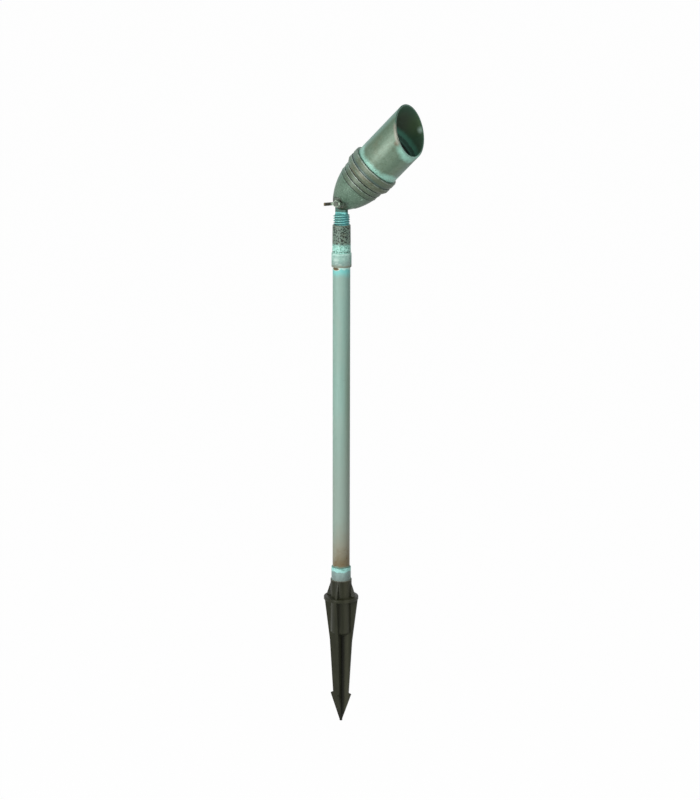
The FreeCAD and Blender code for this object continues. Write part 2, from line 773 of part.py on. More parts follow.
def make_lamp_base():
    body = new_body("lamp_base")
    sketch = new_sketch(body, "XY_Plane", "socket_top")
    add_outline(sketch, rounded_rectangle("base_length", "base_width", "base_round"))
    extruded(body, "Pad", sketch, "base_height", symmetric=False)
    in_head(body)
    return body


def make_lamp_capsule():
    body = new_body("lamp_capsule")
    dome = "base_top + capsule_height - capsule_diameter / 2"
    turned(body, "Revolution", [
        ("0", "base_top"), ("capsule_diameter / 2", "base_top"),
        ("capsule_diameter / 2", dome, "capsule_diameter / 2"), ("0", "base_top + capsule_height"),
    ])
    in_head(body)
    return body


def make_lamp_reflector():
    body = new_body("lamp_reflector")
    cover_seat = "rim_inner_radius + cover_gap"
    turned(body, "Revolution", [
        ("neck_inner_radius", "reflector_foot"),
        ("reflector_neck / 2", "reflector_foot", "reflector_curve"),
        ("reflector_rim / 2", "reflector_rim_base"), ("reflector_rim / 2", "reflector_top"),
        (cover_seat, "reflector_top"), (cover_seat, "cover_base"),
        ("rim_inner_radius - reflector_wall", "cover_base", "-reflector_curve"),
        ("neck_inner_radius", "reflector_foot + reflector_wall"),
    ])
    in_head(body)
    return body


def make_lamp_cover_glass():
    body = new_body("lamp_cover_glass")
    turned(body, "Revolution", [
        ("0", "cover_base"), ("rim_inner_radius", "cover_base"), ("rim_inner_radius", "reflector_top"),
        ("0", "reflector_top"),
    ])
    in_head(body)
    return body


bodies = [
    make_ground_spike(), make_lower_adapter(), make_riser_tube(), make_upper_collar(), make_riser_coupling(),
    make_knuckle_stem(), make_rear_housing(), make_pivot_bolt(), make_friction_washers(), make_nut_washer(),
    make_lock_washer(), make_wing_nut(), make_hood(), make_hood_seal(), make_lens(), make_lens_gasket(),
    make_lens_retainer(), make_lamp_socket(), make_socket_contacts(), make_socket_screws(), make_lamp_pins(),
    make_lamp_base(), make_lamp_capsule(), make_lamp_reflector(), make_lamp_cover_glass(),
]
doc.recompute()

for item in doc.Objects:
    if "Invalid" in item.State or "Error" in item.State:
        raise RuntimeError(f"{item.Label} is not built: {item.State}")
for body in bodies:
    if body.Shape.isNull() or not body.Shape.isValid():
        raise RuntimeError(f"{body.Label} has no valid shape")

os.makedirs("parts", exist_ok=True)
for body in bodies:
    body.Shape.exportStep(f"parts/{body.Label}.step")
    print(f"{body.Label}: {len(body.Shape.Solids)} solids, {body.Shape.Volume / 1000:.2f} cm3")
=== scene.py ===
"""Looks of the garden spotlight: weathered brass and copper, moulded plastic and a cut thread.

It also sets up the studio and the camera. Metres, in the frame's axes: +Z is up, the ground is at
z = 0 and the head leans towards +X. Colours are screen values from 0 to 255.
"""
import json
import math

import bmesh
import bpy
from mathutils import Matrix, Quaternion, Vector


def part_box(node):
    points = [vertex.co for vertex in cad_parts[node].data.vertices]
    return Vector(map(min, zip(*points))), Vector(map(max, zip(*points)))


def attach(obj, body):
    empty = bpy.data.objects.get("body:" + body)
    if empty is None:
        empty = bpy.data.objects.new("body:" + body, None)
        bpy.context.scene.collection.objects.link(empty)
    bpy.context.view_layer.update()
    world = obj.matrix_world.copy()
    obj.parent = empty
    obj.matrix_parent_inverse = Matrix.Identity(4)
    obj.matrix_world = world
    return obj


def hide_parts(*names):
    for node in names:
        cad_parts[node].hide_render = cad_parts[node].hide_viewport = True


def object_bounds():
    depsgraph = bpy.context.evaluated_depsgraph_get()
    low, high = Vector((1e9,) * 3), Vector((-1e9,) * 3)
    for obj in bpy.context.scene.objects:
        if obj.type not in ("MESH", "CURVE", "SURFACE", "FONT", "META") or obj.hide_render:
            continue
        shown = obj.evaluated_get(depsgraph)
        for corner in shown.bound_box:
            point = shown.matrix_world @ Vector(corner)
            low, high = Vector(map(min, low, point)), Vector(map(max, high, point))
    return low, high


MM = 0.001

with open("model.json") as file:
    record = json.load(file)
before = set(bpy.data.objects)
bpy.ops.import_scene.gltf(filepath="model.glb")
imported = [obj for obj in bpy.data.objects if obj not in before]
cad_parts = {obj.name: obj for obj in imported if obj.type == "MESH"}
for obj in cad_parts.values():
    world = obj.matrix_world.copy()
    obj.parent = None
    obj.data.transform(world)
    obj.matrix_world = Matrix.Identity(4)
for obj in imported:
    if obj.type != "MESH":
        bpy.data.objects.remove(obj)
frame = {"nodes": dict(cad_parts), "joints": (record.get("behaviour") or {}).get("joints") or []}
nodes = frame["nodes"]
cad_low, cad_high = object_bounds()

# Points and heights of the stand
joints = {joint["name"]: joint for joint in frame["joints"]}
PIVOT = Vector(joints["head_tilt"]["pos_m"])
COUPLING_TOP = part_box("riser_coupling")[1].z
COUPLING_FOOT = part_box("riser_coupling")[0].z
COLLAR_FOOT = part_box("upper_collar")[0].z
LOWER_COLLAR_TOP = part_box("lower_adapter")[1].z
SPIKE_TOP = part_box("ground_spike")[1].z

# Knuckle stem: the thread above the coupling, the neck, and the eye with its flats
STEM_FOOT, STEM_HEAD = (corner.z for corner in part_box("knuckle_stem"))
THREAD_CREST = (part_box("knuckle_stem")[1].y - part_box("knuckle_stem")[0].y) / 2
THREAD_ROOT = THREAD_CREST - 1.7 * MM
THREAD_PITCH = 2.95 * MM
THREAD_TOP = PIVOT.z - 15.4 * MM
THREAD_FOOT = COUPLING_TOP - 2.5 * MM
SHANK_TOP = COUPLING_TOP - 3 * MM
THREAD_RUN_OUT = 0.9 * MM
# Above 0.5, the thread's crests and roots come out flat
THREAD_FULLNESS = 0.95
NECK_RADIUS = STEM_HEAD - PIVOT.z
NECK_FILLET = 0.5 * MM
FLATS_FOOT = PIVOT.z - 14.6 * MM
FLATS_STEP = 0.02 * MM
EYE_FLAT = 4.5 * MM
BOLT_HOLE = 3.05 * MM

# The head's own axes: along the lamp, towards its underside, and across
HEAD_AXIS = Vector(joints["hood_turn"]["axis"]).normalized()
HEAD_DOWN = Vector((HEAD_AXIS.z, 0, -HEAD_AXIS.x))
HEAD_SIDE = Vector((0, 1, 0))

# The housing's grooves, and its rings with their tints, along the head from the pivot, in
# millimetres
GROOVES = ((31.2, 31.8), (38.0, 39.0), (45.4, 46.9))
FRONT_GROOVE = (55.5, 58.1)
RINGS = ((31.8, 38.0, (78, 90, 70)), (39.0, 45.4, (90, 99, 79)),
         (46.9, 55.5, (100, 92, 68)), (58.1, 65.6, (100, 101, 80)))
HOUSING_END = 65.6 * MM
LEDGE_TOP = 102.0 * MM

# The hood's radii in millimetres: outside, in the middle of its wall, and inside
HOOD_OUTSIDE = 29.3
HOOD_WALL = 28.2
HOOD_INSIDE = 27.1
# Faces this near to the bore count as its inside
BORE_MARGIN = 0.15 * MM

# The hood's slanted mouth: a plane with this normal, at this distance from the pivot
MOUTH_LENGTH = 126.7 * MM
MOUTH_SLANT = math.radians(31.5)
HOOD_TURN = math.radians(-29.0)
MOUTH_NORMAL = HEAD_AXIS * math.cos(MOUTH_SLANT) + (
    HEAD_DOWN * math.cos(HOOD_TURN) + HEAD_SIDE * math.sin(HOOD_TURN)) * math.sin(MOUTH_SLANT)
MOUTH_PLACE = MOUTH_LENGTH * math.cos(MOUTH_SLANT)

# Where the riser is rubbed bare, under the upper collar
RUBBED_SPOT = Vector((-4.4 * MM, -10.2 * MM, COLLAR_FOOT - 1.7 * MM))
# Where the upper collar is worn pale
WORN_PATCH = Vector((-3.0 * MM, -12.0 * MM, COLLAR_FOOT + 10.0 * MM))
# The side of the stand that the photograph has on its right
RIGHT_SIDE = (0.94, 0.34, 0)


def head_point(along, radius, degrees):
    """A point of the head: millimetres along it and off its axis, degrees from its underside."""
    turn = math.radians(degrees)
    across = HEAD_DOWN * math.cos(turn) + HEAD_SIDE * math.sin(turn)
    return PIVOT + (HEAD_AXIS * along + across * radius) * MM


# Node materials: how glossy verdigris and old brass are, how much metal the head's patina lets
# through, and how softly the tints of rings and grooves end
DULL_SPECULAR = 0.35
PATINA_METALLIC = 0.15
RING_EDGE = 0.0003
GLASS_IOR = 1.5


def linear(colour):
    """A colour of three 0 to 255 screen values as linear light."""
    parts = [value / 255 for value in colour]
    light = [p / 12.92 if p <= 0.04045 else ((p + 0.055) / 1.055) ** 2.4 for p in parts]
    return (*light, 1.0)


class Finish:
    """A Principled material, with short names for the nodes that feed it.

    Its colour starts as a mix of two, and then tints are laid over it. A mask goes from 0 to 1.
    """

    def __init__(self, name, metallic=0.0, specular=0.5):
        self.material = bpy.data.materials.new(name)
        self.material.use_nodes = True
        self.tree = self.material.node_tree
        self.shader = self.tree.nodes["Principled BSDF"]
        self.shader.inputs["Metallic"].default_value = metallic
        self.shader.inputs["Specular IOR Level"].default_value = specular
        self.place = self.tree.nodes.new("ShaderNodeTexCoord").outputs["Object"]
        self.colour = None

    def put(self, source, socket):
        """Links a socket, or sets a plain number or colour."""
        if isinstance(source, bpy.types.NodeSocket):
            self.tree.links.new(source, socket)
        else:
            socket.default_value = source

    # Numbers

    def math(self, operation, first, second=0.0):
        node = self.tree.nodes.new("ShaderNodeMath")
        node.operation = operation
        self.put(first, node.inputs[0])
        self.put(second, node.inputs[1])
        return node.outputs[0]

    def times(self, first, second):
        return self.math("MULTIPLY", first, second)

    def plus(self, first, second):
        return self.math("ADD", first, second)

    def varied(self, value, extra, share):
        """A value with a share of something uneven added, as for a ragged edge."""
        return self.plus(value, self.times(extra, share))

    def step(self, value, low, high):
        """Rises smoothly from 0 at low to 1 at high; low may be the larger of the two."""
        node = self.tree.nodes.new("ShaderNodeMapRange")
        node.interpolation_type = "SMOOTHSTEP"
        self.put(value, node.inputs["Value"])
        rising = high > low
        self.put(low if rising else high, node.inputs["From Min"])
        self.put(high if rising else low, node.inputs["From Max"])
        self.put(0.0 if rising else 1.0, node.inputs["To Min"])
        self.put(1.0 if rising else 0.0, node.inputs["To Max"])
        return node.outputs["Result"]

    def band(self, value, low, high, soft):
        """1 between low and high, with soft edges."""
        return self.times(self.step(value, low - soft, low + soft),
                          self.step(value, high + soft, high - soft))

    def noise(self, scale, detail=4.0, roughness=0.55, stretch=(1, 1, 1), place=None):
        """Noise from 0 to 1, about scale spots to the metre; a stretch below 1 draws them out."""
        node = self.tree.nodes.new("ShaderNodeTexNoise")
        self.put(self.vector("MULTIPLY", place or self.place, stretch), node.inputs["Vector"])
        node.inputs["Scale"].default_value = scale
        node.inputs["Detail"].default_value = detail
        node.inputs["Roughness"].default_value = roughness
        return node.outputs["Fac"]

    def pits(self, scale):
        """Distance to the nearest of many scattered points, in the spacing's units."""
        node = self.tree.nodes.new("ShaderNodeTexVoronoi")
        self.put(self.place, node.inputs["Vector"])
        node.inputs["Scale"].default_value = scale
        return node.outputs["Distance"]

    # Places

    def vector(self, operation, first, second=(0, 0, 0)):
        node = self.tree.nodes.new("ShaderNodeVectorMath")
        node.operation = operation
        self.put(first, node.inputs[0])
        self.put(second, node.inputs[1])
        return node.outputs["Value" if operation in ("DOT_PRODUCT", "LENGTH") else "Vector"]

    def dot(self, place, direction):
        """How far a place lies in a direction."""
        return self.vector("DOT_PRODUCT", place, tuple(direction))

    def length(self, offset):
        return self.vector("LENGTH", offset)

    def height(self):
        """Height above the ground."""
        node = self.tree.nodes.new("ShaderNodeSeparateXYZ")
        self.put(self.place, node.inputs[0])
        return node.outputs["Z"]

    def axle_radius(self):
        """Distance from the riser's axis."""
        return self.length(self.vector("MULTIPLY", self.place, (1, 1, 0)))

    def across(self):
        """Distance from the riser's axis towards its right side."""
        return self.dot(self.place, RIGHT_SIDE)

    def near(self, spot, inner, outer, stretch=(1, 1, 1)):
        """1 within inner of a spot, falling to 0 at outer; stretch above 1 narrows it that way."""
        away = self.vector("MULTIPLY", self.vector("SUBTRACT", self.place, tuple(spot)), stretch)
        return self.step(self.length(away), outer, inner)

    def from_pivot(self):
        return self.vector("SUBTRACT", self.place, tuple(PIVOT))

    def from_bolt(self):
        """The offset from the bolt's axis."""
        return self.vector("MULTIPLY", self.from_pivot(), (1, 0, 1))

    def head_place(self):
        """The place in the head's own axes, for grain that runs along the head."""
        node = self.tree.nodes.new("ShaderNodeCombineXYZ")
        from_pivot = self.from_pivot()
        for socket, axis in zip(node.inputs, (HEAD_DOWN, HEAD_SIDE, HEAD_AXIS)):
            self.put(self.dot(from_pivot, axis), socket)
        return node.outputs[0]

    def along_head(self):
        """Distance along the head's axis from the pivot."""
        return self.dot(self.from_pivot(), HEAD_AXIS)

    def under_head(self):
        """Distance from the head's axis towards its underside."""
        return self.dot(self.from_pivot(), HEAD_DOWN)

    # Colours

    def mix(self, mask, first, second):
        """The first colour where the mask is 0, and the second where it is 1."""
        node = self.tree.nodes.new("ShaderNodeMix")
        node.data_type = "RGBA"
        self.put(mask, node.inputs["Factor"])
        for source, name in ((first, "A_Color"), (second, "B_Color")):
            socket = next(s for s in node.inputs if s.identifier == name)
            self.put(linear(source) if isinstance(source, tuple) else source, socket)
        return next(s for s in node.outputs if s.identifier == "Result_Color")

    def over(self, colour, tint, mask, share=1.0):
        """A colour with a share of a tint over it where the mask is."""
        return self.mix(self.times(mask, share), colour, tint)

    def lay(self, tint, mask, share=1.0):
        """Lays a share of a tint over the finish's own colour where the mask is."""
        self.colour = self.over(self.colour, tint, mask, share)

    def finish(self, roughness, bump=None, bump_depth=0.0):
        """Joins everything to the shader, and gives the material."""
        self.put(self.colour, self.shader.inputs["Base Color"])
        self.put(roughness, self.shader.inputs["Roughness"])
        if bump is not None:
            node = self.tree.nodes.new("ShaderNodeBump")
            node.inputs["Strength"].default_value = 1.0
            node.inputs["Distance"].default_value = bump_depth
            self.put(bump, node.inputs["Height"])
            self.put(node.outputs["Normal"], self.shader.inputs["Normal"])
        return self.material


def riser_finish():
    """Grey-green verdigris in faint upright streaks, turquoise at its top and brown at its foot."""
    f = Finish("riser_verdigris", specular=DULL_SPECULAR)
    height = f.height()
    across = f.across()
    streaks = f.noise(260, 5, stretch=(1, 1, 0.06))
    clouds = f.noise(42, 4, stretch=(1, 1, 0.35))
    f.colour = f.mix(f.step(streaks, 0.2, 0.8), (131, 164, 152), (142, 175, 164))
    f.lay((146, 168, 156), f.step(clouds, 0.45, 0.75), 0.6)
    f.lay((122, 146, 134), f.step(f.noise(170, 3), 0.62, 0.74), 0.4)

    # Downwards: olive on the right side, grey all round, then brown with rust, lower on the left
    wavy = f.varied(height, f.noise(60, 3), 0.03)
    warm_side = f.step(across, 0.001, 0.009)
    f.lay((124, 144, 124), f.times(warm_side, f.step(wavy, 0.42, 0.28)), 0.65)
    f.lay((142, 157, 146), f.step(wavy, 0.30, 0.14), 0.75)
    cool_side = f.step(across, -0.004, -0.010)
    lower = f.varied(wavy, cool_side, 0.010)
    f.lay((138, 136, 119), f.step(lower, 0.136, 0.080), 0.9)
    f.lay((110, 98, 69), f.step(lower, 0.090, 0.064), 0.9)
    rust = f.times(f.step(lower, 0.090, 0.070), f.step(f.noise(230, 3), 0.52, 0.68))
    f.lay((106, 82, 50), rust, 0.6)

    # A teal ring just above the lower collar
    foot = f.varied(height, f.noise(110, 3), 0.006)
    f.lay((112, 148, 136), f.step(foot, LOWER_COLLAR_TOP + 0.0060, LOWER_COLLAR_TOP + 0.0036), 0.8)

    # Turquoise and a pale edge under the upper collar, and the spot that is rubbed bare
    ragged = f.varied(height, f.noise(120, 3), 0.008)
    f.lay((120, 201, 196), f.step(ragged, COLLAR_FOOT - 0.0105, COLLAR_FOOT - 0.0005), 0.9)
    f.lay((188, 230, 220), f.step(ragged, COLLAR_FOOT + 0.0008, COLLAR_FOOT + 0.0020), 0.9)
    flat = (1, 1, 2.6)
    f.lay((222, 222, 204), f.near(RUBBED_SPOT, 0.0056, 0.0070, flat), 0.8)
    f.lay((92, 80, 52), f.near(RUBBED_SPOT, 0.0042, 0.0056, flat))
    return f.finish(f.varied(0.42, streaks, 0.2), f.noise(900, 3, stretch=(1, 1, 0.2)), 0.00005)


def upper_collar_finish():
    """Pale mint, whiter at the top and grey-brown at its foot, with scuffs and a worn patch."""
    f = Finish("collar_verdigris", specular=DULL_SPECULAR)
    clouds = f.noise(120, 5)
    scuffs = f.noise(300, 4)
    f.colour = f.mix(f.step(clouds, 0.35, 0.65), (140, 179, 167), (163, 198, 187))
    wavy = f.varied(f.height(), f.noise(150, 3), 0.005)
    f.lay((184, 222, 210), f.step(wavy, COUPLING_FOOT - 0.0015, COUPLING_FOOT + 0.0015), 0.85)
    f.lay((124, 146, 138), f.step(wavy, COLLAR_FOOT + 0.0125, COLLAR_FOOT + 0.0080), 0.6)
    f.lay((124, 124, 106), f.step(wavy, COLLAR_FOOT + 0.0070, COLLAR_FOOT + 0.0042), 0.8)
    f.lay((112, 146, 136), f.step(scuffs, 0.55, 0.66), 0.5)
    f.lay((206, 230, 220), f.step(scuffs, 0.43, 0.34), 0.35)
    f.lay((214, 232, 222), f.near(WORN_PATCH, 0.0010, 0.0062, (1, 1, 1.8)), 0.3)
    return f.finish(f.varied(0.4, clouds, 0.25), f.noise(700, 4), 0.00008)


def lower_collar_finish():
    """Grey-blue, greyer at its foot, with a bright wash of turquoise round its top."""
    f = Finish("adapter_verdigris", specular=DULL_SPECULAR)
    top = LOWER_COLLAR_TOP
    clouds = f.noise(140, 5)
    f.colour = f.mix(f.step(clouds, 0.35, 0.65), (122, 146, 142), (140, 166, 161))
    f.lay((106, 130, 121), f.step(f.noise(330, 4), 0.58, 0.7), 0.5)
    wavy = f.varied(f.height(), f.noise(110, 3), 0.008)
    f.lay((114, 126, 121), f.step(wavy, top - 0.0030, top - 0.0095), 0.6)
    f.lay((160, 216, 208), f.step(wavy, top - 0.0018, top - 0.0002))
    scuffs = f.step(f.noise(260, 4), 0.52, 0.62)
    f.lay((104, 160, 146), f.times(scuffs, f.step(wavy, top - 0.0005, top + 0.0010)), 0.7)
    f.lay((104, 160, 144), f.step(wavy, top + 0.0028, top + 0.0040), 0.8)
    return f.finish(0.5, f.noise(800, 4), 0.00006)


def coupling_finish():
    """Dark pitted casting, with turquoise creeping up from its foot and dark chips at the joint."""
    f = Finish("coupling_patina", specular=0.4)
    height = f.height()
    pits = f.varied(f.pits(480), f.noise(900, 2), 0.3)
    f.colour = f.mix(f.step(pits, 0.56, 0.68), (12, 28, 20), (103, 125, 111))
    f.lay((84, 84, 64), f.step(f.noise(150, 3), 0.5, 0.7), 0.4)
    f.lay((150, 172, 157), f.step(f.noise(420, 2), 0.60, 0.72), 0.6)
    specks = f.noise(600, 4, 0.65)
    wash = f.mix(f.step(specks, 0.40, 0.54), (100, 156, 140), (172, 227, 213))
    ragged = f.varied(height, f.noise(380, 4, 0.7), -0.012)
    f.lay(wash, f.step(ragged, COUPLING_FOOT + 0.0070, COUPLING_FOOT + 0.0024), 0.95)
    f.lay((104, 108, 92), f.step(height, COUPLING_TOP - 0.0016, COUPLING_TOP - 0.0004), 0.7)
    joint = f.band(height, COUPLING_FOOT + 0.0010, COUPLING_FOOT + 0.0028, 0.0005)
    chips = f.times(joint, f.step(f.noise(620, 2), 0.48, 0.54))
    f.lay((42, 66, 56), chips)
    return f.finish(0.5, f.varied(pits, chips, -0.6), 0.0003)


def stem_finish():
    """Bright turquoise, darker in the thread's grooves, with painted light on its right side and a
    painted shadow under the head.
    """
    f = Finish("stem_verdigris", specular=DULL_SPECULAR)
    height = f.height()
    clouds = f.noise(240, 5)
    f.colour = f.mix(f.step(clouds, 0.35, 0.65), (90, 172, 166), (108, 192, 186))
    # Painted light: lighter towards the right side, on the neck and the thread
    painted_light_side = f.step(f.across(), -0.004, 0.006)
    f.lay((124, 206, 203), painted_light_side, 0.6)
    crest = f.step(f.axle_radius(), THREAD_ROOT + 0.0004, THREAD_CREST - 0.0002)
    turns = f.mix(crest, (42, 98, 96), (126, 194, 186))
    threaded = f.step(height, THREAD_TOP + 0.0002, THREAD_TOP - 0.0006)
    f.lay(f.over(turns, (104, 192, 196), painted_light_side, 0.4), threaded)
    f.lay((136, 200, 190), f.step(f.noise(420, 3), 0.58, 0.7), 0.4)
    # A painted shadow of the head, dark teal, on the neck just under it
    painted_shade = f.varied(height, clouds, 0.0012)
    f.lay((32, 78, 60), f.step(painted_shade, PIVOT.z - 0.0124, PIVOT.z - 0.0108), 0.92)
    return f.finish(f.varied(0.4, clouds, 0.25), f.noise(900, 4), 0.00006)


def housing_finish():
    """Grey-green patina, olive and brown rings with worn front edges that also carry a painted
    highlight, painted shade behind each step, in the grooves and underneath, and a mint top that is
    partly painted rim light.
    """
    f = Finish("housing_patina", metallic=PATINA_METALLIC)
    along = f.along_head()
    under = f.under_head()
    clouds = f.noise(70, 5)
    fine = f.noise(640, 5, 0.6)
    round_marks = f.noise(150, 4, stretch=(0.3, 0.3, 6), place=f.head_place())
    blotches = f.noise(140, 4)
    marks = f.noise(330, 4, 0.65)
    f.colour = f.mix(f.step(clouds, 0.32, 0.7), (80, 107, 88), (98, 125, 106))
    f.lay((56, 78, 60), f.step(fine, 0.49, 0.40), 0.6)
    f.lay((132, 158, 140), f.step(fine, 0.55, 0.64), 0.55)

    for low, high, tint in RINGS:
        width = (high - low) * MM
        ring = f.band(along, low * MM, high * MM, RING_EDGE)
        f.lay(tint, f.times(ring, f.step(round_marks, 0.28, 0.58)), 0.8)
        f.lay((72, 84, 64), f.times(ring, f.step(marks, 0.50, 0.64)), 0.5)
        # Painted shade just behind each ring's step
        step_shade = f.band(along, low * MM, low * MM + 0.35 * width, 0.2 * width)
        f.lay((62, 79, 62), f.times(step_shade, f.step(blotches, 0.32, 0.58)), 0.6)
        # A pale front edge: wear and a painted highlight
        worn = f.band(along, high * MM - 0.0011, high * MM, 0.0004)
        f.lay((164, 178, 168), f.times(worn, f.step(blotches, 0.34, 0.55)), 0.75)
    # Mint along the top: patina and painted rim light
    f.lay((116, 156, 144), f.step(under, -0.014, -0.025), 0.35)
    # Painted shade in the grooves
    for low, high in GROOVES:
        f.lay((24, 31, 26), f.band(along, (low - 0.1) * MM, (high + 0.1) * MM, RING_EDGE), 0.9)
    # Painted shade in the front groove, darkest at its rear edge
    low, high = FRONT_GROOVE
    f.lay((70, 90, 87), f.band(along, low * MM, high * MM, RING_EDGE), 0.8)
    f.lay((48, 60, 56), f.band(along, low * MM, (low + 0.8) * MM, RING_EDGE), 0.7)
    # Painted shade on the underside
    f.lay((62, 82, 64), f.step(under, 0.006, 0.030), 0.5)

    # Darker on the tail, painted shade round the bolt's seat and below it, and one pale chip
    f.lay((42, 52, 38), f.step(f.varied(along, blotches, 0.006), 0.009, 0.001), 0.92)
    seat = f.length(f.from_bolt())
    f.lay((40, 54, 40), f.step(f.varied(seat, blotches, 0.004), 0.0112, 0.0090), 0.75)
    below = f.step(f.height(), PIVOT.z + 0.002, PIVOT.z - 0.004)
    painted_shade = f.times(below, f.step(f.varied(seat, blotches, 0.008), 0.0200, 0.0150))
    f.lay((52, 56, 38), painted_shade, 0.8)
    f.lay((150, 178, 162), f.near(head_point(27.6, 26.2, -43), 0.0006, 0.0016), 0.8)
    relief = f.plus(fine, f.varied(f.times(clouds, 0.6), round_marks, 0.4))
    return f.finish(f.varied(0.42, fine, 0.14), relief, 0.00014)


def hood_finish():
    """Grey-green patina with a brown cast, mint at the joint and on the low lip, a dark rim,
    painted shade in bands along the top and underside with painted rim light beyond them, and a
    painted shadow in the joint.
    """
    f = Finish("hood_patina", metallic=PATINA_METALLIC)
    along = f.along_head()
    under = f.under_head()
    mouth = f.math("SUBTRACT", f.dot(f.from_pivot(), MOUTH_NORMAL), MOUTH_PLACE)
    clouds = f.noise(34, 5)
    fine = f.noise(620, 5, 0.6)
    drawn = f.noise(300, 5, stretch=(1, 1, 0.12), place=f.head_place())
    mottle = f.noise(230, 4, 0.65)
    patches = f.noise(120, 3)
    f.colour = f.mix(f.step(drawn, 0.2, 0.8), (90, 114, 94), (104, 127, 107))
    f.lay((106, 106, 82), f.step(clouds, 0.46, 0.68), 0.5)
    f.lay((80, 98, 74), f.step(mottle, 0.50, 0.66), 0.5)
    f.lay((124, 140, 124), f.step(mottle, 0.46, 0.34), 0.4)
    f.lay((72, 95, 75), f.step(fine, 0.48, 0.34), 0.4)
    f.lay((128, 149, 132), f.step(fine, 0.58, 0.74), 0.45)

    # A band of painted shade and a paler edge, mint patina with painted rim light, along the top,
    # and the same along the underside
    f.lay((74, 104, 80), f.band(under, -0.0230, -0.0175, 0.003), 0.45)
    f.lay((116, 158, 146), f.step(under, -0.0200, -0.0264), 0.75)
    f.lay((72, 98, 80), f.band(under, 0.0165, 0.0215, 0.003), 0.45)
    f.lay((104, 134, 119), f.step(under, 0.0235, 0.0285), 0.7)

    # Mint at the joint, further along the top and the underside, and a painted shadow of the
    # housing's lip in the joint itself
    ends = f.step(f.math("ABSOLUTE", under), 0.013, 0.027)
    ragged = f.varied(f.varied(along, ends, -0.005), patches, 0.007)
    joint = f.step(ragged, HOUSING_END + 0.0118, HOUSING_END + 0.0058)
    f.lay((144, 195, 178), f.times(joint, f.step(fine, 0.25, 0.5)), 0.95)
    f.lay((56, 76, 68), f.step(along, HOUSING_END + 0.0011, HOUSING_END + 0.0004), 0.8)

    # The mouth: mint on the low lip, a brown smudge, the rim, and a rubbed streak beside it
    lip = f.step(f.varied(mouth, patches, 0.008), -0.0044, 0.0016)
    low_lip = f.times(lip, f.near(head_point(107, HOOD_OUTSIDE, -42), 0.010, 0.023))
    f.lay((146, 198, 180), low_lip, 0.95)
    f.lay((100, 90, 64), f.near(head_point(112.5, HOOD_OUTSIDE, -84), 0.0012, 0.0042), 0.7)
    rim = f.step(mouth, -0.0011, -0.0004)
    f.lay((58, 100, 82), rim, 0.88)
    low_rim = f.times(rim, f.near(head_point(104, HOOD_WALL, -32), 0.018, 0.032))
    f.lay((150, 196, 180), low_rim, 0.8)
    streak = f.times(f.near(head_point(119, HOOD_OUTSIDE, -101), 0.009, 0.017),
                     f.band(mouth, -0.0032, 0.0010, 0.0010))
    f.lay((148, 146, 132), streak, 0.65)
    return f.finish(f.varied(0.36, fine, 0.14), f.varied(fine, drawn, 0.4), 0.0001)


def lining_finish():
    """The hood's dull dark green inside, with a greyer patch, painted light in two patches,
    turquoise above the lens and a painted highlight at the lip.
    """
    f = Finish("hood_lining", specular=0.2)
    fine = f.noise(420, 5, 0.6)
    clouds = f.noise(55, 4)
    f.colour = f.mix(f.step(clouds, 0.35, 0.65), (56, 90, 70), (64, 96, 73))
    f.lay((68, 74, 62), f.near(head_point(120, HOOD_INSIDE, 135), 0.006, 0.026), 0.7)
    # Painted light in two patches on the inside wall, the first of them olive
    f.lay((76, 100, 66), f.near(head_point(130, HOOD_INSIDE, 95), 0.004, 0.020), 0.7)
    f.lay((82, 108, 88), f.near(head_point(112, HOOD_INSIDE, 45), 0.006, 0.020), 0.7)
    ragged = f.varied(f.along_head(), f.noise(160, 3), 0.003)
    f.lay((96, 160, 138), f.step(ragged, LEDGE_TOP + 0.0145, LEDGE_TOP + 0.0080), 0.85)
    f.lay((70, 100, 90), f.step(ragged, LEDGE_TOP + 0.0066, LEDGE_TOP + 0.0052), 0.9)
    f.lay((84, 104, 92), f.step(fine, 0.58, 0.72), 0.35)
    # A painted highlight on the far wall at the lip
    f.lay((176, 206, 192), f.near(head_point(129.5, HOOD_INSIDE, 82), 0.0002, 0.0060), 0.75)
    return f.finish(f.varied(0.45, fine, 0.2), fine, 0.0001)


def wing_nut_finish():
    """Green hub and dark brown wings, one of them dark green as painted shade, the other rubbed to
    gold at its tip.
    """
    f = Finish("wing_nut_patina", specular=DULL_SPECULAR)
    away = f.from_bolt()
    along_wings = f.dot(away, (1, 0, 0))
    patches = f.noise(330, 4)
    f.colour = f.mix(f.step(patches, 0.4, 0.62), (120, 142, 124), (172, 192, 170))
    wings = f.mix(f.step(patches, 0.4, 0.6), (42, 40, 30), (72, 68, 54))
    f.lay(wings, f.step(f.length(away), 0.0048, 0.0072))
    # Painted shade: the wing towards +X darker and greener
    f.lay((44, 62, 46), f.step(along_wings, 0.0045, 0.0065), 0.95)
    tip = f.step(along_wings, -0.0112, -0.0132)
    f.lay((150, 130, 84), f.times(tip, f.step(patches, 0.34, 0.5)), 0.6)
    return f.finish(0.45, f.noise(800, 4), 0.00012)


